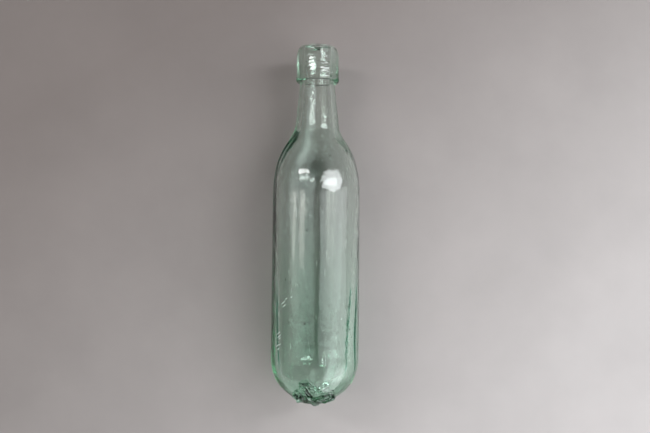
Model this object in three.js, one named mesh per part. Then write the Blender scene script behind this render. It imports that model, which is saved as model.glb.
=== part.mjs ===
// Round-ended soda bottle of thick pale green glass, lying on its side as it was stored.
//
// A bottle like this has no foot. It was kept lying down, so that its cork stayed wet. It is three
// gathers of glass, each its own solid here:
//   blown_body   the bubble blown into the mould: domed base, barrel, shoulder and neck
//   applied_lip  the collar wound hot round the cracked-off end of the neck and tooled to shape
//   pontil_scar  the rough glass left on the dome by the rod that held the bottle
//
// Millimetres, +Z up, the bottle's axis along +Y towards the mouth, and the origin under the middle
// of the whole bottle, on the surface it lies on. Outlines are drawn as (radius, height above the
// tip of the dome) and turned about the axis.
import * as THREE from "three";

// Driving dimensions ------------------------------------------------------------------------------

const BOTTLE_HEIGHT = 234; // tip of the dome to the top of the lip
const BARREL_RADIUS = 29.3;
const DOME_HEIGHT = 30; // tip of the dome to the start of the barrel
const DOME_FULLNESS = 2.2; // 2 is an ellipse, and more is squarer
const SHOULDER_HEIGHT = 47; // end of the barrel to the foot of the neck
const NECK_HEIGHT = 29; // foot of the neck to the underside of the lip
const NECK_FOOT_RADIUS = 14;
const NECK_TOP_RADIUS = 11.4;

const FOOT_WALL = 7; // at the start of the barrel, by the dome
const SHOULDER_WALL = 3; // at the end of the barrel
const DOME_WALL = 9; // at the tip, where the hot glass settled
const NECK_WALL = 2.8;
const SHOULDER_DROP = 3; // how far the inside of the shoulder lies below the outside

const LIP_HEIGHT = 23;
const LIP_WALL = 2.6; // how far the lip stands out past the neck inside it
const LIP_ROUND = 9; // height of the rounded top edge
const RIM_WIDTH = 1; // flat ring at the very top
const MOUTH_RADIUS = 8.8;
const MOUTH_EASE = 0.8; // rounding of the mouth's inner edge
const BEAD_HEIGHT = 3.8; // ring round the foot of the lip, left by the lipping tool
const BEAD_PROUD = 0.2; // how far the bead stands out past the lip
const BEAD_ROUND = 1.2; // rounding of the bead's lower edge
const CREASE_DEPTH = 0.35; // groove between the bead and the rest of the lip
const NECK_IN_LIP = 11.5; // how far the neck's end runs up inside the lip

const SCAR_HOLE = 5.5; // from the tip along the dome to the inside of the ring
const SCAR_REACH = 13.5; // from the tip along the dome to the outside of the ring
const SCAR_FLANK = 8; // how much further the ring spreads on its broad side
const SCAR_TAIL = 11; // how much further the drawn-out tail of glass reaches
const SCAR_HEIGHT = 2.4; // highest ridge of the ring, standing out from the dome

const FUSED_GAP = 0.3; // between solids that are melted together on the real bottle

const FLATS = 32; // round the bottle
const SCAR_FLATS = 72;
const CURVE_STEPS = 13; // along the dome and along the shoulder
const LIP_STEPS = 4; // along each rounded edge of the lip
const SCAR_STEPS = 8; // from the inside to the outside of the scar

const SHOULDER_FALL = 0.77; // share of the shoulder's height that still leans on the barrel's line
const SHOULDER_SWEEP = 0.24; // share of the shoulder's height that leans on the neck's line

const SCAR_TAIL_ANGLE = -0.2; // radians from straight up, seen from the mouth
const SCAR_TAIL_SPREAD = 0.4;
const SCAR_FLANK_ANGLE = 0.85;
const SCAR_FLANK_SPREAD = 0.8;

// Heights above the tip of the dome, and radii that follow from the sizes above -------------------

const LIP_FOOT = BOTTLE_HEIGHT - LIP_HEIGHT;
const NECK_END = LIP_FOOT + NECK_IN_LIP;
const NECK_FOOT = LIP_FOOT - NECK_HEIGHT;
const BARREL_END = NECK_FOOT - SHOULDER_HEIGHT;
const SOCKET_RADIUS = NECK_TOP_RADIUS + FUSED_GAP;
const LIP_RADIUS = NECK_TOP_RADIUS + LIP_WALL;
const RIM_INNER_RADIUS = MOUTH_RADIUS + MOUTH_EASE;
const NECK_SLOPE = (NECK_FOOT_RADIUS - NECK_TOP_RADIUS) / NECK_HEIGHT;

const GLASS = { color: 0x9dbfae, roughness: 0.06, metalness: 0 };

const point = (radius, height) => new THREE.Vector2(radius, height);

// One quarter of a squared-off ellipse, from its tip on the axis out to its full radius.
function domePoints(radius, height, tip) {
  const round = 2 / DOME_FULLNESS;
  return Array.from({ length: CURVE_STEPS + 1 }, (_, i) => {
    const angle = (i / CURVE_STEPS) * (Math.PI / 2);
    const out = i === 0 ? 0 : Math.sin(angle) ** round;
    const up = i === CURVE_STEPS ? 0 : Math.cos(angle) ** round;
    return point(radius * out, tip + height * (1 - up));
  });
}

// The shoulder, from the end of the barrel in to the foot of the neck.
function shoulderPoints(barrelRadius, neckRadius, drop) {
  const foot = BARREL_END - drop;
  const top = NECK_FOOT - drop;
  const lean = SHOULDER_SWEEP * SHOULDER_HEIGHT;
  const sweep = new THREE.CubicBezierCurve(
    point(barrelRadius, foot),
    point(barrelRadius, foot + SHOULDER_FALL * SHOULDER_HEIGHT),
    point(neckRadius + NECK_SLOPE * lean, top - lean),
    point(neckRadius, top),
  );
  return sweep.getPoints(CURVE_STEPS);
}

// Turns an outline about +Y, with a flat facing straight down and a flat facing straight up.
function turned(outline, flats) {
  return new THREE.LatheGeometry(outline, flats, Math.PI / flats);
}

function glassMesh(name, geometry) {
  const mesh = new THREE.Mesh(geometry, new THREE.MeshStandardMaterial(GLASS));
  mesh.name = name;
  return mesh;
}

// Blown body --------------------------------------------------------------------------------------

function blownBody() {
  const bore = NECK_TOP_RADIUS - NECK_WALL;
  const outside = [
    ...domePoints(BARREL_RADIUS, DOME_HEIGHT, 0),
    ...shoulderPoints(BARREL_RADIUS, NECK_FOOT_RADIUS, 0),
    point(NECK_TOP_RADIUS, LIP_FOOT),
    point(NECK_TOP_RADIUS, NECK_END),
  ];
  const inside = [
    ...domePoints(BARREL_RADIUS - FOOT_WALL, DOME_HEIGHT - DOME_WALL, DOME_WALL),
    ...shoulderPoints(BARREL_RADIUS - SHOULDER_WALL, NECK_FOOT_RADIUS - NECK_WALL, SHOULDER_DROP),
    point(bore, LIP_FOOT),
    point(bore, NECK_END),
  ];
  return glassMesh("blown_body", turned([...outside, ...inside.reverse()], FLATS));
}

// Applied lip -------------------------------------------------------------------------------------

function appliedLip() {
  const beadRadius = LIP_RADIUS + BEAD_PROUD;
  const beadMiddle = LIP_FOOT + BEAD_HEIGHT / 2;
  const beadTop = LIP_FOOT + BEAD_HEIGHT;
  const outline = new THREE.Path();
  outline.moveTo(SOCKET_RADIUS, LIP_FOOT);
  outline.lineTo(beadRadius - BEAD_ROUND, LIP_FOOT);
  outline.quadraticCurveTo(beadRadius, LIP_FOOT, beadRadius, beadMiddle);
  outline.quadraticCurveTo(beadRadius, beadTop, LIP_RADIUS - CREASE_DEPTH, beadTop);
  outline.quadraticCurveTo(LIP_RADIUS, beadTop, LIP_RADIUS, beadTop + BEAD_HEIGHT);
  outline.lineTo(LIP_RADIUS, BOTTLE_HEIGHT - LIP_ROUND);
  outline.quadraticCurveTo(LIP_RADIUS, BOTTLE_HEIGHT, RIM_INNER_RADIUS + RIM_WIDTH, BOTTLE_HEIGHT);
  outline.lineTo(RIM_INNER_RADIUS, BOTTLE_HEIGHT);
  outline.quadraticCurveTo(MOUTH_RADIUS, BOTTLE_HEIGHT, MOUTH_RADIUS, BOTTLE_HEIGHT - MOUTH_EASE);
  outline.lineTo(MOUTH_RADIUS, NECK_END + FUSED_GAP);
  outline.lineTo(SOCKET_RADIUS, NECK_END + FUSED_GAP);
  outline.lineTo(SOCKET_RADIUS, LIP_FOOT);
  return glassMesh("applied_lip", turned(outline.getPoints(LIP_STEPS), FLATS));
}

// Pontil scar -------------------------------------------------------------------------------------

// The dome and barrel as one line, which the scar's bed follows at a small distance.
const side = new THREE.Path();
side.setFromPoints([...domePoints(BARREL_RADIUS, DOME_HEIGHT, 0), point(BARREL_RADIUS, BARREL_END)]);

// The place a given distance along that line from the tip, and a given distance out from it.
function outsideBody(along, out) {
  const share = along / side.getLength();
  const place = side.getPoint(share);
  const way = side.getTangent(share);
  return point(place.x + out * way.y, place.y - out * way.x);
}

// A smooth bump that is 1 at the given angle and fades over the given spread.
function lobe(angle, middle, spread) {
  const turn = Math.atan2(Math.sin(angle - middle), Math.cos(angle - middle));
  return Math.exp(-((turn / spread) ** 2));
}

function scarReach(angle) {
  const flank = SCAR_FLANK * lobe(angle, SCAR_FLANK_ANGLE, SCAR_FLANK_SPREAD);
  const tail = SCAR_TAIL * lobe(angle, SCAR_TAIL_ANGLE, SCAR_TAIL_SPREAD);
  return SCAR_REACH + Math.max(flank, tail);
}

// A closed ring that lies on the dome: over its top from the inside out, and back along its bed.
function pontilScar() {
  const bed = Array.from({ length: SCAR_STEPS + 1 }, (_, i) => point(i / SCAR_STEPS, 0));
  const crest = bed.slice(1, -1).map((p) => point(p.x, Math.sin(p.x * Math.PI) ** 0.7));
  const section = [bed[0], ...crest, ...bed.slice(1).reverse(), bed[0]];
  const geometry = turned(section.map((p) => point(1 + p.x, p.y)), SCAR_FLATS);
  const places = geometry.attributes.position;
  for (let i = 0; i < places.count; i += 1) {
    const angle = Math.atan2(places.getX(i), places.getZ(i));
    const across = Math.hypot(places.getX(i), places.getZ(i)) - 1;
    const along = SCAR_HOLE + across * (scarReach(angle) - SCAR_HOLE);
    const out = FUSED_GAP + places.getY(i) * (SCAR_HEIGHT - FUSED_GAP);
    const place = outsideBody(along, out);
    places.setXYZ(i, place.x * Math.sin(angle), place.y, place.x * Math.cos(angle));
  }
  return glassMesh("pontil_scar", geometry);
}

// The whole bottle, set down with the middle of its bounding box over the origin ------------------

const bottle = new THREE.Group();
bottle.add(blownBody(), appliedLip(), pontilScar());

const extent = new THREE.Box3().setFromObject(bottle);
const middle = extent.getCenter(new THREE.Vector3());
bottle.position.set(-middle.x, -middle.y, -extent.min.z);

export default bottle;
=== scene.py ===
"""A round-ended soda bottle of pale green glass, lying on a plain pale table."""

import math

import bmesh
import bpy
import numpy as np
from mathutils import Matrix, Vector


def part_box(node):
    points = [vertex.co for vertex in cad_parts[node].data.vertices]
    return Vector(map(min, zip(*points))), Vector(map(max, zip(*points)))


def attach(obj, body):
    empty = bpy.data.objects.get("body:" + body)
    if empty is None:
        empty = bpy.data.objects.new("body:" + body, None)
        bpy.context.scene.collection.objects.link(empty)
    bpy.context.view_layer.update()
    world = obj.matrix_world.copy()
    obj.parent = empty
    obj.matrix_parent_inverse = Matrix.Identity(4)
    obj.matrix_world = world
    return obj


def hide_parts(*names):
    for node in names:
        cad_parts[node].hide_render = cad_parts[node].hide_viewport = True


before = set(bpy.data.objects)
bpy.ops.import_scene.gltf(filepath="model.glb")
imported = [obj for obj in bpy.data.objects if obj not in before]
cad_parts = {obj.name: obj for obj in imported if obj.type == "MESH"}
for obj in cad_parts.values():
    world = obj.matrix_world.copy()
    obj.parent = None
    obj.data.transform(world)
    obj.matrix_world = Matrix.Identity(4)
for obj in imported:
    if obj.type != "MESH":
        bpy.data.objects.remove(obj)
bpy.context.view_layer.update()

MM = 0.001

# Sizes --------------------------------------------------------------------------------------------
# Heights are measured along the bottle from the tip of its dome, and radii from its axis.

body_low, body_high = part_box("blown_body")
lip_low, lip_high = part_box("applied_lip")

TIP = body_low.y
AXIS_UP = (body_low.z + body_high.z) / 2
BARREL_RADIUS = (body_high.z - body_low.z) / 2
LIP_FOOT = lip_low.y - TIP
LIP_TOP = lip_high.y - TIP
NECK_END = body_high.y - TIP

DOME_HEIGHT = 30 * MM
DOME_FULLNESS = 2.2
NECK_FOOT = LIP_FOOT - 29 * MM
BARREL_END = NECK_FOOT - 47 * MM
NECK_FOOT_RADIUS = 14 * MM
NECK_TOP_RADIUS = 11.4 * MM
FOOT_WALL = 7.0 * MM  # of the barrel by the dome
SHOULDER_WALL = 3.0 * MM  # of the barrel by the shoulder
DOME_WALL = 9 * MM
NECK_WALL = 2.8 * MM
SHOULDER_DROP = 3 * MM
BARREL_TAPER = 0.4 * MM  # how much narrower the barrel is at the shoulder than low down
NECK_WAIST = 0.06 * MM  # how far the sides of the neck bow in
NECK_FLARE = 0.4 * MM  # how much wider the foot of the neck is than a straight cone
DENT_UP = 147 * MM  # a flattened spot on the upper side of the shoulder
DENT_TURN = 0.36
DENT_REACH = 15 * MM
DENT_DEPTH = 0.58 * MM

LIP_RADIUS = 14 * MM
LIP_ROUND = 9 * MM
MOUTH_RADIUS = 8.8 * MM
MOUTH_EASE = 1.0 * MM
RIM_WIDTH = 0.8 * MM
BEAD_HEIGHT = 3.8 * MM
BEAD_PROUD = 0.2 * MM
BEAD_ROUND = 1.2 * MM
CREASE_DEPTH = 0.35 * MM
FUSED_GAP = 0.02 * MM
EDGE = 0.03 * MM  # width of the row that turns a sharp edge
SEAM = 0.05 * MM  # height of the row where the neck goes into the lip

SCAR_REACH = 13.5 * MM

COLUMNS = 224  # round the bottle
GRAIN = 1.1 * MM  # between the rows of its mesh
BARREL_GRAIN = 1.6 * MM
DOME_GRAIN = 0.6 * MM
BORE_GRAIN = 0.9 * MM  # inside the dome
FINE_GRAIN = 0.35 * MM  # on the beads and edges of the lip
LIP_GRAIN = 0.5 * MM
SCAR_COLUMNS = 420
SCAR_ROWS = 84

MELTED = 1.0  # a face fused to its neighbour, which bends no light
NEARLY_MELTED = 0.985  # the end of the neck inside the lip, which still shows faintly

# Glass outlines -----------------------------------------------------------------------------------


def dome_line(radius, height, tip, steps=60):
    """A quarter of a squared-off ellipse as (radius, height) points, from its tip outwards."""
    angle = np.linspace(0, math.pi / 2, steps)
    out = np.sin(angle) ** (2 / DOME_FULLNESS)
    up = np.clip(np.cos(angle), 0, 1) ** (2 / DOME_FULLNESS)
    return np.column_stack([radius * out, tip + height * (1 - up)])


def shoulder_line(barrel_radius, neck_radius, drop, steps=60):
    """The shoulder's curve, from the end of the barrel in to the foot of the neck."""
    height = NECK_FOOT - BARREL_END
    slope = (NECK_FOOT_RADIUS - NECK_TOP_RADIUS) / (LIP_FOOT - NECK_FOOT)
    lean = 0.24 * height
    foot, top = BARREL_END - drop, NECK_FOOT - drop
    pull = np.array([
        (barrel_radius, foot),
        (barrel_radius, foot + 0.77 * height),
        (neck_radius + slope * lean, top - lean),
        (neck_radius, top),
    ])
    t = np.linspace(0, 1, steps)[:, None]
    weights = np.hstack([(1 - t) ** 3, 3 * (1 - t) ** 2 * t, 3 * (1 - t) * t**2, t**3])
    return weights @ pull


def bend(start, corner, end, steps=12):
    """A rounded corner from start to end, as a curve that leans on the corner."""
    t = np.linspace(0, 1, steps)[:, None]
    return (1 - t) ** 2 * np.array(start) + 2 * (1 - t) * t * np.array(corner) + t**2 * np.array(end)


def evenly(line, step):
    """The same line with its points one step apart, its ends kept."""
    line = np.asarray(line, float)
    run = np.r_[0, np.cumsum(np.hypot(*np.diff(line, axis=0).T))]
    keep = np.r_[True, np.diff(run) > 1e-9]
    line, run = line[keep], run[keep]
    at = np.linspace(0, run[-1], max(2, int(round(run[-1] / step)) + 1))
    return np.column_stack([np.interp(at, run, line[:, i]) for i in (0, 1)])


def outward(line):
    """The direction straight out of a line that is followed with the glass on its left."""
    way = np.gradient(line, axis=0)
    way /= np.linalg.norm(way, axis=1, keepdims=True) + 1e-12
    return np.column_stack([way[:, 1], -way[:, 0]])


# Unevenness of hand-made glass --------------------------------------------------------------------


def waves(height, angle, seed, size, around, along, count=14):
    """A smooth uneven field: waves of mixed directions, with around turns and along per metre."""
    draw = np.random.default_rng(seed)
    total = np.zeros(np.broadcast(height, angle).shape)
    for _ in range(count):
        turns = draw.integers(around[0], around[1] + 1)
        rate = draw.uniform(*along) * draw.choice([-1, 1])
        phase = draw.uniform(0, 2 * math.pi)
        total = total + np.sin(2 * math.pi * rate * height + turns * angle + phase)
    return size * total / math.sqrt(count)


def ramp(value, low, high):
    """0 below low, 1 above high, and smooth between."""
    t = np.clip((value - low) / (high - low), 0, 1)
    return t * t * (3 - 2 * t)


# Mesh making --------------------------------------------------------------------------------------


def around_axis(radius, height, angle):
    """Points of the lying bottle: angle 0 is straight up, and a quarter turn is towards +X."""
    x = radius * np.sin(angle)
    z = AXIS_UP + radius * np.cos(angle)
    return np.stack([x, TIP + height + 0 * angle, z], axis=-1)


def glass_mesh(name, points, faces, joint, material):
    """A smooth mesh object. joint holds, for each face, how completely it is melted to a neighbour."""
    mesh = bpy.data.meshes.new(name)
    mesh.from_pydata(points.tolist(), [], faces)
    mesh.polygons.foreach_set("use_smooth", np.ones(len(mesh.polygons), bool))
    layer = mesh.attributes.new("joint", "FLOAT", "FACE")
    layer.data.foreach_set("value", np.asarray(joint, np.float32))
    mesh.materials.append(material)
    weld = bmesh.new()
    weld.from_mesh(mesh)
    bmesh.ops.remove_doubles(weld, verts=weld.verts, dist=1e-8)
    weld.to_mesh(mesh)
    weld.free()
    piece = bpy.data.objects.new(name, mesh)
    bpy.context.scene.collection.objects.link(piece)
    return piece


def turned_faces(rows, columns, closed_loop):
    """Faces of a grid of rows round the axis. A grid that is no loop starts and ends in a point."""
    faces = []
    last = rows if closed_loop else rows - 1
    for i in range(last):
        a, b = i * columns, ((i + 1) % rows) * columns
        for j in range(columns):
            k = (j + 1) % columns
            faces.append((a + j, a + k, b + k, b + j))
    return faces


# Materials ----------------------------------------------------------------------------------------


def new_node(tree, kind, settings=(), **inputs):
    """A node of a kind, with plain values for some of its inputs."""
    node = tree.nodes.new(kind)
    for name, value in dict(settings).items():
        setattr(node, name, value)
    for name, value in inputs.items():
        node.inputs[name.replace("_", " ")].default_value = value
    return node


def worn_surface():
    """Old glass: haze, hairline scuffs along the bottle, grit marks, tool bands and soft ripples."""
    tree = bpy.data.node_groups.new("worn_surface", "ShaderNodeTree")
    for name in ("Haze", "Scuffs", "Tool Bands", "Grit", "Ripples"):
        tree.interface.new_socket(name, in_out="INPUT", socket_type="NodeSocketFloat")
    for name in ("Roughness", "Height"):
        tree.interface.new_socket(name, in_out="OUTPUT", socket_type="NodeSocketFloat")
    links = tree.links
    given = tree.nodes.new("NodeGroupInput")
    made = tree.nodes.new("NodeGroupOutput")
    place = tree.nodes.new("ShaderNodeTexCoord").outputs["Object"]

    def noise(stretch, scale, detail=3):
        fit = new_node(tree, "ShaderNodeMapping", Scale=stretch)
        links.new(place, fit.inputs["Vector"])
        field = new_node(tree, "ShaderNodeTexNoise", Scale=scale, Detail=detail)
        links.new(fit.outputs[0], field.inputs["Vector"])
        return field.outputs["Fac"]

    def above(value, low, high):
        cut = new_node(tree, "ShaderNodeMapRange", From_Min=low, From_Max=high)
        links.new(value, cut.inputs["Value"])
        return cut.outputs[0]

    def combine(kind, one, other):
        sum_node = new_node(tree, "ShaderNodeMath", {"operation": kind})
        links.new(one, sum_node.inputs[0])
        links.new(other, sum_node.inputs[1])
        return sum_node.outputs[0]

    hazed = combine("MULTIPLY", above(noise((1, 1, 1), 90), 0.45, 0.8), given.outputs["Haze"])
    scuffed = combine("MULTIPLY", above(noise((1, 0.06, 1), 1300, 2), 0.68, 0.76), given.outputs["Scuffs"])
    gritty = combine("MULTIPLY", above(noise((1, 1, 1), 1400, 2), 0.66, 0.8), given.outputs["Grit"])
    banded = combine("MULTIPLY", noise((0.2, 1, 0.2), 700, 1), given.outputs["Tool Bands"])
    rippled = combine("MULTIPLY", noise((1, 0.5, 1), 420, 2), given.outputs["Ripples"])
    marks = combine("ADD", scuffed, gritty)
    links.new(combine("ADD", hazed, marks), made.inputs["Roughness"])
    links.new(combine("ADD", combine("ADD", banded, rippled), marks), made.inputs["Height"])
    return tree


wear = worn_surface()


def clear_glass(name, density, **amounts):
    """Green glass that darkens with depth. Faces melted to a neighbour let light straight through."""
    material = bpy.data.materials.new(name)
    material.use_nodes = True
    tree = material.node_tree
    tree.nodes.clear()
    out = new_node(tree, "ShaderNodeOutputMaterial")
    glass = new_node(tree, "ShaderNodeBsdfPrincipled", Roughness=0.0, IOR=1.52)
    glass.inputs["Base Color"].default_value = (1, 1, 1, 1)
    glass.inputs["Transmission Weight"].default_value = 1
    depth = new_node(tree, "ShaderNodeVolumeAbsorption", Color=(0.0, 0.75, 0.36, 1), Density=density)
    joint = new_node(tree, "ShaderNodeAttribute", {"attribute_name": "joint"})
    index = new_node(tree, "ShaderNodeMapRange", To_Min=1.52, To_Max=1.0)
    surface = new_node(tree, "ShaderNodeGroup", {"node_tree": wear})
    for key, value in amounts.items():
        surface.inputs[key.replace("_", " ")].default_value = value
    bump = new_node(tree, "ShaderNodeBump", Strength=0.5, Distance=0.00006)
    for start, end in (
        (joint.outputs["Fac"], index.inputs["Value"]),
        (index.outputs[0], glass.inputs["IOR"]),
        (surface.outputs["Roughness"], glass.inputs["Roughness"]),
        (surface.outputs["Height"], bump.inputs["Height"]),
        (bump.outputs[0], glass.inputs["Normal"]),
        (glass.outputs[0], out.inputs["Surface"]),
        (depth.outputs[0], out.inputs["Volume"]),
    ):
        tree.links.new(start, end)
    return material


body_glass = clear_glass("body_glass", 25, Haze=0.02, Scuffs=0.5, Tool_Bands=0.05, Grit=0.3, Ripples=3.2)
lip_glass = clear_glass("lip_glass", 18, Haze=0.02, Scuffs=0.1, Tool_Bands=0.8, Grit=0.4, Ripples=1.5)
scar_glass = clear_glass("scar_glass", 70, Haze=0.03, Scuffs=0, Tool_Bands=0, Grit=0.6, Ripples=1.0)

# Blown body ---------------------------------------------------------------------------------------

outside = np.vstack([
    evenly(dome_line(BARREL_RADIUS, DOME_HEIGHT, 0), DOME_GRAIN),
    evenly([(BARREL_RADIUS, DOME_HEIGHT), (BARREL_RADIUS, BARREL_END)], BARREL_GRAIN)[1:],
    evenly(shoulder_line(BARREL_RADIUS, NECK_FOOT_RADIUS, 0), GRAIN)[1:],
    evenly([(NECK_FOOT_RADIUS, NECK_FOOT), (NECK_TOP_RADIUS, LIP_FOOT)], GRAIN)[1:],
])
sleeve = np.array([(NECK_TOP_RADIUS, LIP_FOOT + SEAM), (NECK_TOP_RADIUS, NECK_END)])
bore = NECK_TOP_RADIUS - NECK_WALL
neck_foot_bore = NECK_FOOT_RADIUS - NECK_WALL
foot_bore = BARREL_RADIUS - FOOT_WALL
shoulder_bore = BARREL_RADIUS - SHOULDER_WALL
inside = np.vstack([
    evenly(dome_line(foot_bore, DOME_HEIGHT - DOME_WALL, DOME_WALL), BORE_GRAIN),
    evenly([(foot_bore, DOME_HEIGHT), (shoulder_bore, BARREL_END - SHOULDER_DROP)], BARREL_GRAIN)[1:],
    evenly(shoulder_line(shoulder_bore, neck_foot_bore, SHOULDER_DROP), GRAIN)[1:],
    evenly([(neck_foot_bore, NECK_FOOT - SHOULDER_DROP), (bore, LIP_FOOT)], GRAIN)[1:],
    evenly([(bore, LIP_FOOT), (bore, NECK_END - EDGE)], GRAIN)[1:],
    [(bore, NECK_END)],
])

angles = np.arange(COLUMNS) * 2 * math.pi / COLUMNS


def pushed(line, push):
    """The points of a line turned about the axis and pushed outwards by a field."""
    normal = outward(line)
    radius = line[:, :1] + push * normal[:, :1]
    height = line[:, 1:] + push * normal[:, 1:]
    return around_axis(radius, height, angles[None, :])


def dent(height, angle, at_height, at_angle, reach, depth):
    """A shallow round hollow in a wall, reach wide from its middle to its edge."""
    turn = (angle - at_angle + math.pi) % (2 * math.pi) - math.pi
    run = np.hypot(height - at_height, BARREL_RADIUS * turn) / reach
    return -depth * np.clip(1 - run**2, 0, 1) ** 2


def outside_field(radius, height, angle):
    """How far the outside stands out from its turned shape, at any places on it."""
    fade = ramp(radius, 0, 8 * MM) * (1 - ramp(height, LIP_FOOT - 12 * MM, LIP_FOOT - 1 * MM))
    push = waves(height, angle, 3, 0.05 * MM, (2, 7), (4, 30))
    push = push + waves(height, angle, 4, 0.016 * MM, (6, 20), (30, 120))
    narrower = ramp(height, 60 * MM, BARREL_END + 12 * MM)
    narrower = narrower * (1 - ramp(height, NECK_FOOT - 14 * MM, NECK_FOOT))
    up_neck = np.clip((height - NECK_FOOT) / (LIP_FOOT - NECK_FOOT), 0, 1)
    flare = (1 - up_neck) * ramp(height, NECK_FOOT - 20 * MM, NECK_FOOT)
    push = push - BARREL_TAPER * narrower
    push = push - NECK_WAIST * np.sin(math.pi * up_neck) + NECK_FLARE * flare
    push = push + dent(height, angle, DENT_UP, DENT_TURN, DENT_REACH, DENT_DEPTH)
    return push * fade


def outside_push(line):
    """The outside's unevenness at the points of a line turned about the axis."""
    return outside_field(line[:, :1], line[:, 1:], angles[None, :])


def inside_push(line):
    """The inside's unevenness, which is stronger than outside and most of all low in the bottle."""
    height, angle = line[:, 1:], angles[None, :]
    even_neck = ramp(height, NECK_FOOT - 20 * MM, NECK_FOOT)
    fade = ramp(line[:, :1], 0, 8 * MM) * (0.35 + 0.65 * (1 - even_neck))
    push = waves(height, angle, 11, 0.30 * MM, (1, 5), (0, 4))
    push = push + waves(height, angle, 12, 0.05 * MM, (3, 9), (0, 14))
    push = push + waves(height, angle, 13, 0.025 * MM, (5, 18), (20, 90))
    low = 1 - ramp(height, 26 * MM, 52 * MM)
    push = push + low * waves(height, angle, 14, 0.11 * MM, (0, 3), (45, 120))
    push = push + dent(height, angle, 22 * MM, 0.06, 6.5 * MM, 0.9 * MM)
    push = push + dent(height, angle, 25 * MM, -0.30, 4.5 * MM, 0.7 * MM)
    return push * fade


def scar_edge(angle):
    """The distances along the skin from the tip to the inside and the outside of the scar."""
    def lobe(middle, spread, size):
        turn = (angle - middle + math.pi) % (2 * math.pi) - math.pi
        return size * np.exp(-((turn / spread) ** 2))

    ragged = waves(0, angle, 31, 0.4 * MM, (3, 14), (0, 0))
    tail = np.maximum(lobe(-0.24, 0.26, 20 * MM), lobe(0.42, 0.5, 13.5 * MM))
    outer = SCAR_REACH + np.maximum(tail, lobe(-0.55, 0.22, 13 * MM)) + ragged
    inner = 4.5 * MM + waves(0, angle, 32, 0.5 * MM, (2, 9), (0, 0))
    return inner, outer


def run_along(line):
    """The distance along a line to each of its points."""
    return np.r_[0, np.cumsum(np.hypot(*np.diff(line, axis=0).T))]


def under_scar():
    """For each face of the outside, whether the scar covers it."""
    inner, outer = scar_edge(angles + math.pi / COLUMNS)
    run = run_along(outside)
    middle = ((run[1:] + run[:-1]) / 2)[:, None]
    return (middle > inner + 0.5 * MM) & (middle < outer - 0.7 * MM)


def seeds(count, seed):
    """Bubbles caught in the wall, drawn out along the bottle, as points and faces to add to it."""
    draw = np.random.default_rng(seed)
    points, faces = [], []
    for _ in range(count):
        height = draw.uniform(12, 165) * MM
        angle = draw.uniform(-1.3, 1.3)
        outer = np.interp(height, outside[:, 1], outside[:, 0])
        inner = np.interp(height, inside[:, 1], inside[:, 0])
        middle = around_axis(inner + draw.uniform(0.4, 0.75) * (outer - inner), height, angle)
        size = np.clip(draw.gamma(2.0, 0.11), 0.12, 0.5) * MM
        first = sum(len(ring) for ring in points)
        turn, rise = np.meshgrid(np.arange(8) * math.pi / 4, np.linspace(-1.2, 1.2, 5))
        flat = np.cos(rise).ravel()
        turn, rise = turn.ravel(), rise.ravel()
        shape = np.column_stack([flat * np.cos(turn), 1.8 * np.sin(rise), flat * np.sin(turn)])
        points.append(middle + size * shape)
        grid = turned_faces(5, 8, False)
        ends = [tuple(range(8))[::-1], tuple(range(32, 40))]
        faces += [tuple(first + i for i in face) for face in grid + ends]
    return np.vstack(points), faces


outer_points = pushed(outside, outside_push(outside))
sleeve_points = pushed(sleeve, np.zeros((len(sleeve), COLUMNS)))
inner_points = pushed(inside, inside_push(inside))[::-1]
body_rows = np.vstack([outer_points, sleeve_points, inner_points])
body_faces = turned_faces(len(body_rows), COLUMNS, False)
sleeve_row = len(outer_points) - 1
joint_rows = np.zeros(len(body_rows) - 1)
joint_rows[sleeve_row:sleeve_row + 2] = MELTED
joint_rows[sleeve_row + 2] = NEARLY_MELTED
body_joint = np.repeat(joint_rows, COLUMNS)
covered = under_scar().ravel()
body_joint[:len(covered)][covered] = MELTED
seed_points, seed_faces = seeds(46, 41)
body_points = np.vstack([body_rows.reshape(-1, 3), seed_points])
body_faces += [tuple(len(body_joint) + COLUMNS + i for i in face) for face in seed_faces]
body_joint = np.r_[body_joint, np.zeros(len(seed_faces))]
body = glass_mesh("bottle_body", body_points, body_faces, body_joint, body_glass)

# Applied lip --------------------------------------------------------------------------------------

socket = NECK_TOP_RADIUS + FUSED_GAP
bead_radius = LIP_RADIUS + BEAD_PROUD
bead_top = LIP_FOOT + BEAD_HEIGHT
rim_inner = MOUTH_RADIUS + MOUTH_EASE
bead_foot = (bead_radius - BEAD_ROUND, LIP_FOOT)
bead_side = (bead_radius, LIP_FOOT + BEAD_HEIGHT / 2)
crease = (LIP_RADIUS - CREASE_DEPTH, bead_top)
wall_foot = (LIP_RADIUS, bead_top + BEAD_HEIGHT)
wall_top = (LIP_RADIUS, LIP_TOP - LIP_ROUND)
rim_outside = (rim_inner + RIM_WIDTH, LIP_TOP)
mouth_edge = (MOUTH_RADIUS, LIP_TOP - MOUTH_EASE)
lip_line = np.vstack([
    evenly([(socket, LIP_FOOT), bead_foot], FINE_GRAIN),
    evenly(bend(bead_foot, (bead_radius, LIP_FOOT), bead_side), FINE_GRAIN)[1:],
    evenly(bend(bead_side, (bead_radius, bead_top), crease), FINE_GRAIN)[1:],
    evenly(bend(crease, (LIP_RADIUS, bead_top), wall_foot), FINE_GRAIN)[1:],
    evenly([wall_foot, wall_top], GRAIN)[1:],
    evenly(bend(wall_top, (LIP_RADIUS, LIP_TOP), rim_outside), LIP_GRAIN)[1:],
    evenly([rim_outside, (rim_inner, LIP_TOP)], FINE_GRAIN)[1:],
    evenly(bend((rim_inner, LIP_TOP), (MOUTH_RADIUS, LIP_TOP), mouth_edge), FINE_GRAIN)[1:],
    evenly([mouth_edge, (bore, NECK_END + FUSED_GAP + EDGE)], GRAIN)[1:],
    [(bore, NECK_END + FUSED_GAP)],
])
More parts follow.
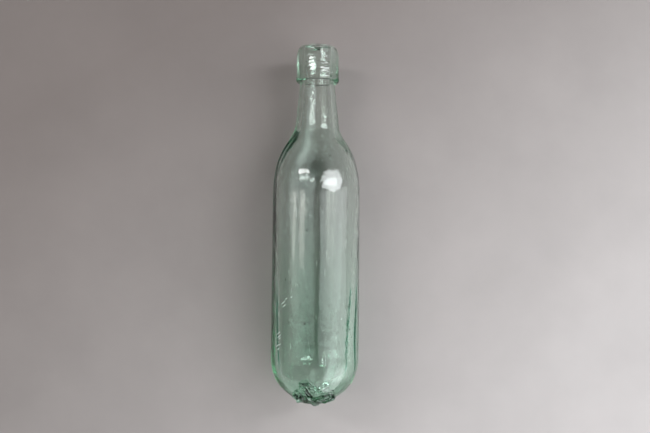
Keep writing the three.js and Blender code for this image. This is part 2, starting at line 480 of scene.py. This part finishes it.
closing = np.array([(socket, NECK_END + FUSED_GAP), (socket, LIP_FOOT + SEAM)])


def lip_push(line):
    """The lip's unevenness: soft waves, and rings left by the tool. The socket stays true."""
    height, angle = line[:, 1:], angles[None, :]
    fade = ramp(line[:, :1], NECK_TOP_RADIUS, NECK_TOP_RADIUS + 1 * MM)
    fade = np.maximum(fade, ramp(height, NECK_END + 1 * MM, NECK_END + 3 * MM))
    push = waves(height, angle, 21, 0.1 * MM, (1, 5), (5, 60))
    push = push + waves(height, angle, 22, 0.03 * MM, (0, 3), (150, 500))
    return push * fade


lip_rows = np.vstack([pushed(lip_line, lip_push(lip_line)), pushed(closing, np.zeros((2, COLUMNS)))])
lip_faces = turned_faces(len(lip_rows), COLUMNS, True)
joint_rows = np.zeros(len(lip_rows))
joint_rows[-2:] = MELTED
joint_rows[-3] = NEARLY_MELTED
lip = glass_mesh("bottle_lip", lip_rows.reshape(-1, 3), lip_faces, np.repeat(joint_rows, COLUMNS), lip_glass)

# Pontil scar --------------------------------------------------------------------------------------
# Broken glass on the dome. Its places are (across, up) on the dome's skin, as if that were unrolled
# from the tip: up runs towards the top of the lying bottle and across towards +X.


def chips(across, up, seed, pitch, depth):
    """Shell-shaped chips with sharp crests between them, as broken glass has."""
    draw = np.random.default_rng(seed)
    reach = 28 * MM
    count = int((2 * reach / pitch) ** 2)
    middles = draw.uniform(-reach, reach, (count, 2))
    nearest = np.full(across.shape, 1.0)
    for x, y in middles:
        nearest = np.minimum(nearest, (across - x) ** 2 + (up - y) ** 2)
    return depth * np.clip(nearest / (0.6 * pitch) ** 2, 0, 1)


def ridge(across, up, start, end, width, height):
    """A straight ridge with a sharp crest, from start to end, each (across, up)."""
    way = end - start
    t = np.clip(((across - start[0]) * way[0] + (up - start[1]) * way[1]) / (way @ way), 0, 1)
    off = np.hypot(across - start[0] - t * way[0], up - start[1] - t * way[1])
    return height * np.clip(1 - off / width, 0, 1) * (1 - 0.4 * t)


# Ridges of the scar: start and end as (across, up), half width and height, in millimetres.
RIDGES = (
    ((-9.0, 33.0), (-1.0, 20.5), 1.0, 2.6),
    ((-6.5, 32.0), (2.0, 19.0), 0.9, 2.0),
    ((-3.5, 27.0), (5.0, 17.0), 0.8, 1.5),
    ((-1.0, 19.0), (3.0, 9.0), 1.6, 2.2),
    ((2.0, 26.5), (12.0, 25.0), 0.5, 0.8),
    ((3.5, 23.0), (12.0, 22.0), 0.7, 1.5),
    ((8.0, 19.5), (16.5, 22.0), 0.8, 1.5),
    ((13.0, 19.0), (20.0, 21.0), 0.7, 1.2),
    ((6.0, 15.0), (14.0, 17.0), 1.0, 1.6),
    ((-13.5, 24.0), (-9.0, 20.0), 0.8, 1.6),
    ((-14.0, 20.0), (-8.5, 17.0), 0.9, 1.8),
    ((-10.5, 25.0), (-7.0, 20.0), 0.6, 1.4),
    ((-13.0, 8.0), (-7.0, 5.0), 1.6, 1.8),
)


def scar_height(along, angle, inner, outer):
    """How far the scar stands out from the skin: thin at its edges, with chips and sharp ridges."""
    across, up = along * np.sin(angle), along * np.cos(angle)
    edge = ramp(along, inner, inner + 1.2 * MM) * (1 - ramp(along, outer - 1.2 * MM, outer))
    crumbs = chips(across, up, 33, 3.0 * MM, 0.9 * MM) + chips(across, up, 34, 1.2 * MM, 0.35 * MM)
    crumbs = crumbs * (1 - 0.75 * ramp(up, 22 * MM, 28 * MM))
    crest = np.zeros(across.shape)
    for start, end, width, height in RIDGES:
        start, end = np.array(start) * MM, np.array(end) * MM
        crest = np.maximum(crest, ridge(across, up, start, end, width * MM, height * MM))
    return 0.12 * MM + edge * (0.9 * crumbs + crest)


def on_skin(along, angle, lift):
    """Points that far above the body's own outside, at these distances along it from its tip."""
    run = run_along(outside)
    normal = outward(outside)
    radius = np.interp(along, run, outside[:, 0])
    height = np.interp(along, run, outside[:, 1])
    out = np.interp(along, run, normal[:, 0])
    up = np.interp(along, run, normal[:, 1])
    push = outside_field(radius, height, angle) + lift
    return around_axis(radius + push * out, height + push * up, angle)


scar_angles = np.arange(SCAR_COLUMNS) * 2 * math.pi / SCAR_COLUMNS
inner_edge, outer_edge = scar_edge(scar_angles)
share = np.linspace(0, 1, SCAR_ROWS)[:, None]
along = inner_edge + share * (outer_edge - inner_edge)
around = scar_angles[None, :]
scar_top = on_skin(along, around, scar_height(along, around, inner_edge, outer_edge))
scar_bed = on_skin(along, around, FUSED_GAP)[::-1]
scar_rows = np.vstack([scar_top, scar_bed])
joint_rows = np.zeros(2 * SCAR_ROWS)
joint_rows[SCAR_ROWS:-1] = MELTED
scar_faces = turned_faces(len(scar_rows), SCAR_COLUMNS, True)
scar_joint = np.repeat(joint_rows, SCAR_COLUMNS)
scar = glass_mesh("bottle_scar", scar_rows.reshape(-1, 3), scar_faces, scar_joint, scar_glass)

# Marks of making and of wear ----------------------------------------------------------------------


def tapered(name, stations, radii, flatness, material):
    """A closed round cord through the stations, which thins to a point at both ends."""
    stations = np.asarray(stations)
    way = np.gradient(stations, axis=0)
    way /= np.linalg.norm(way, axis=1, keepdims=True)
    out = stations - np.array([0, 0, AXIS_UP])
    out[:, 1] = 0
    out -= way * np.sum(out * way, axis=1, keepdims=True)
    out /= np.linalg.norm(out, axis=1, keepdims=True)
    side = np.cross(way, out)
    turn = -np.arange(10) * math.pi / 5
    ring = np.cos(turn)[None, :, None] * side[:, None] + flatness * np.sin(turn)[None, :, None] * out[:, None]
    points = (stations[:, None] + np.asarray(radii)[:, None, None] * ring).reshape(-1, 3)
    faces = turned_faces(len(stations), 10, False)
    faces += [tuple(range(10))[::-1], tuple(range(len(points) - 10, len(points)))]
    return glass_mesh(name, points, faces, np.zeros(len(faces)), material)


def streak_glass():
    """Denser green glass. It sits inside the wall, so its own skin bends no light."""
    material = bpy.data.materials.new("streak_glass")
    material.use_nodes = True
    tree = material.node_tree
    clear = tree.nodes["Principled BSDF"]
    clear.inputs["Base Color"].default_value = (1, 1, 1, 1)
    clear.inputs["Roughness"].default_value = 0.0
    clear.inputs["IOR"].default_value = 1.0
    clear.inputs["Transmission Weight"].default_value = 1
    depth = new_node(tree, "ShaderNodeVolumeAbsorption", Color=(0.0, 0.68, 0.54, 1), Density=2400)
    tree.links.new(depth.outputs[0], tree.nodes["Material Output"].inputs["Volume"])
    return material


def streaks():
    """Cords of denser glass in the wall: one on the left of the shoulder, one low on each side."""
    material = streak_glass()
    height = np.linspace(92, 178, 90)
    blunt = np.sqrt(1 - np.clip((height - 175.6) / 2.4, 0, 1) ** 2)
    left = (0.05 + 0.4 * ramp(height, 92, 112) + 1.9 * ramp(height, 145, 174) ** 1.3) * blunt
    left_angle = -1.42 + 0.34 * ramp(height, 135, 176)
    low = np.linspace(16, 82, 70)
    right = 0.05 + 1.5 * np.sin(math.pi * (low - 16) / 66) ** 0.7
    pieces = []
    for name, up, thick, angle in (
        ("shoulder_streak", height, left, left_angle),
        ("foot_streak", low, right, 1.14 + 0.03 * np.sin(low / 9)),
        ("left_foot_streak", low, 0.9 * right, -1.26 + 0.02 * np.sin(low / 11)),
    ):
        outer = np.interp(up * MM, outside[:, 1], outside[:, 0])
        stations = around_axis(outer - (0.5 * thick + 0.25) * MM, up * MM, angle)
        pieces.append(tapered(name, stations, thick * MM, 0.5, material))
    return pieces


def scratches():
    """Short bright gouges with frosted insides, as (height, angle, length along, length round)."""
    material = bpy.data.materials.new("frosted_scratch")
    material.use_nodes = True
    surface = material.node_tree.nodes["Principled BSDF"]
    surface.inputs["Base Color"].default_value = (0.88, 0.94, 0.92, 1)
    surface.inputs["Roughness"].default_value = 0.55
    gouges = (
        (67.5, -0.75, 3.0, 4.4), (65.6, -0.72, 2.6, 3.6), (70.2, -0.66, 1.4, 2.0),
        (47.6, -0.90, 2.6, 3.8), (45.6, -0.88, 3.0, 4.2), (44.4, -0.86, 1.8, 2.4),
        (39.6, -0.93, 2.2, 3.2), (37.6, -0.90, 1.8, 2.6), (40.6, -0.85, 1.4, 1.8),
        (71.5, -0.52, 1.0, 1.6), (96.0, 0.30, 1.2, 0.5), (58.0, 0.62, 0.8, 1.0),
    )
    pieces = []
    for i, (height, angle, along, around) in enumerate(gouges):
        share = np.linspace(-0.5, 0.5, 9)
        run = run_along(outside)
        start = np.interp(height * MM, outside[:, 1], run)
        places = on_skin(start + share * along * MM, angle + share * around * MM / BARREL_RADIUS, 0.02 * MM)
        radii = (0.04 + 0.32 * np.cos(math.pi * share)) * MM
        pieces.append(tapered(f"scratch_{i + 1}", places, radii, 0.3, material))
    return pieces


for mark in [*streaks(), *scratches()]:
    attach(mark, "root")

for piece, node, slot in (
    (body, "blown_body", "body_glass"),
    (lip, "applied_lip", "lip_glass"),
    (scar, "pontil_scar", "scar_glass"),
):
    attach(piece, "root")
    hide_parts(node)

# Table, lights and camera -------------------------------------------------------------------------


def table_material():
    """A matt painted board. Its colour grows paler and cooler towards the foot of the bottle and its +X side:
    this is painted light, the fall-off of light from lamps on that side, not the board's own tone.
    """
    material = bpy.data.materials.new("pale_table")
    material.use_nodes = True
    tree = material.node_tree
    surface = tree.nodes["Principled BSDF"]
    surface.inputs["Roughness"].default_value = 0.6
    place = tree.nodes.new("ShaderNodeTexCoord").outputs["Object"]
    # Painted light: the colour runs from dark to pale towards +X and the foot of the bottle (-Y), as the
    # light of a near lamp on that side falls off.
    run = new_node(tree, "ShaderNodeVectorMath", {"operation": "DOT_PRODUCT"})
    run.inputs[1].default_value = (1.0, -1.8, 0)
    share = new_node(tree, "ShaderNodeMapRange", From_Min=-0.35, From_Max=0.35)
    # The darker and the paler colour are painted shade and painted light at the two ends of that fall-off;
    # only the noise mottling below is the board's own uneven tone.
    painted_light_falloff = new_node(tree, "ShaderNodeMix", {"data_type": "RGBA"})
    painted_light_falloff.inputs[6].default_value = (0.262, 0.226, 0.216, 1)
    painted_light_falloff.inputs[7].default_value = (0.500, 0.468, 0.463, 1)
    smudge = new_node(tree, "ShaderNodeTexNoise", Scale=14, Detail=5, Roughness=0.6)
    spread = new_node(tree, "ShaderNodeMapRange", From_Min=0.3, From_Max=0.7, To_Min=0.94, To_Max=1.04)
    mottled = new_node(tree, "ShaderNodeVectorMath", {"operation": "SCALE"})
    for start, end in (
        (place, run.inputs[0]),
        (run.outputs["Value"], share.inputs["Value"]),
        (share.outputs[0], painted_light_falloff.inputs["Factor"]),
        (place, smudge.inputs["Vector"]),
        (smudge.outputs["Fac"], spread.inputs["Value"]),
        (painted_light_falloff.outputs[2], mottled.inputs[0]),
        (spread.outputs[0], mottled.inputs["Scale"]),
        (mottled.outputs[0], surface.inputs["Base Color"]),
    ):
        tree.links.new(start, end)
    return material


def make_table(size=3.0):
    """The flat top that the bottle lies on."""
    mesh = bpy.data.meshes.new("table")
    h = size / 2
    mesh.from_pydata([(-h, -h, 0), (h, -h, 0), (h, h, 0), (-h, h, 0)], [], [(0, 1, 2, 3)])
    mesh.materials.append(table_material())
    table = bpy.data.objects.new("table", mesh)
    bpy.context.scene.collection.objects.link(table)


WHITE = (1.0, 1.0, 1.0)
COOL = (0.97, 1.0, 1.02)
WARM = (1.05, 1.0, 0.94)


def soft_light(name, lean, towards_mouth, distance, width, length, radiance, colour=WHITE, shape="RECTANGLE"):
    """A flat light that faces the bottle.

    lean is its angle from straight up, round the bottle's axis and towards +X, and towards_mouth its
    angle along the bottle, both in degrees. width goes round the bottle and length goes along it.
    """
    lean, along = math.radians(lean), math.radians(towards_mouth)
    way = Vector((math.sin(lean) * math.cos(along), math.sin(along), math.cos(lean) * math.cos(along)))
    side = (Vector((0, 1, 0)) - way * way.y).normalized()
    data = bpy.data.lights.new(name, "AREA")
    data.shape = shape
    data.size, data.size_y = length, width
    data.energy = radiance * math.pi * width * length
    data.color = colour
    light = bpy.data.objects.new(name, data)
    turn = Matrix((side, way.cross(side), way)).transposed()
    light.matrix_world = Matrix.Translation(way * distance) @ turn.to_4x4()
    bpy.context.scene.collection.objects.link(light)
    return light


make_table()
soft_light("window", 41, 15.8, 0.8, 0.64, 0.125, 8.5, COOL, "ELLIPSE")
soft_light("right_wall", 47, -5, 0.8, 1.2, 0.47, 2.1, COOL)
soft_light("left_pane_near", -34, 0, 1.0, 0.20, 0.17, 2.8, WARM)
soft_light("left_pane_far", -55, 0, 1.0, 0.12, 0.17, 2.8, WARM)
soft_light("left_wall", -46, -6, 1.0, 0.80, 0.50, 0.7, WARM)
soft_light("neck_glint", -32, 21.0, 0.9, 0.44, 0.07, 15)
soft_light("overhead", -8, -5, 1.2, 0.45, 0.9, 0.5, WARM)
soft_light("base_low", 68, -48, 0.7, 0.30, 0.7, 2.4, COOL)
soft_light("base_right", 62, -50, 0.6, 0.7, 0.5, 1.5, COOL)

world = bpy.data.worlds.new("room")
bpy.context.scene.world = world
world.use_nodes = True
world.node_tree.nodes["Background"].inputs["Color"].default_value = (1, 0.97, 0.95, 1)
world.node_tree.nodes["Background"].inputs["Strength"].default_value = 0.04

camera_data = bpy.data.cameras.new("camera")
camera_data.lens = 32.1
camera = bpy.data.objects.new("camera", camera_data)
camera.location = (5.9 * MM, 5.6 * MM, 415.4 * MM)
camera.rotation_euler = (0, 0, math.radians(0.594))
bpy.context.scene.collection.objects.link(camera)
bpy.context.scene.camera = camera

scene = bpy.context.scene
scene.view_settings.view_transform = "Standard"
scene.cycles.max_bounces = 24
scene.cycles.transmission_bounces = 24
scene.cycles.glossy_bounces = 12
scene.cycles.diffuse_bounces = 4
scene.cycles.transparent_max_bounces = 16
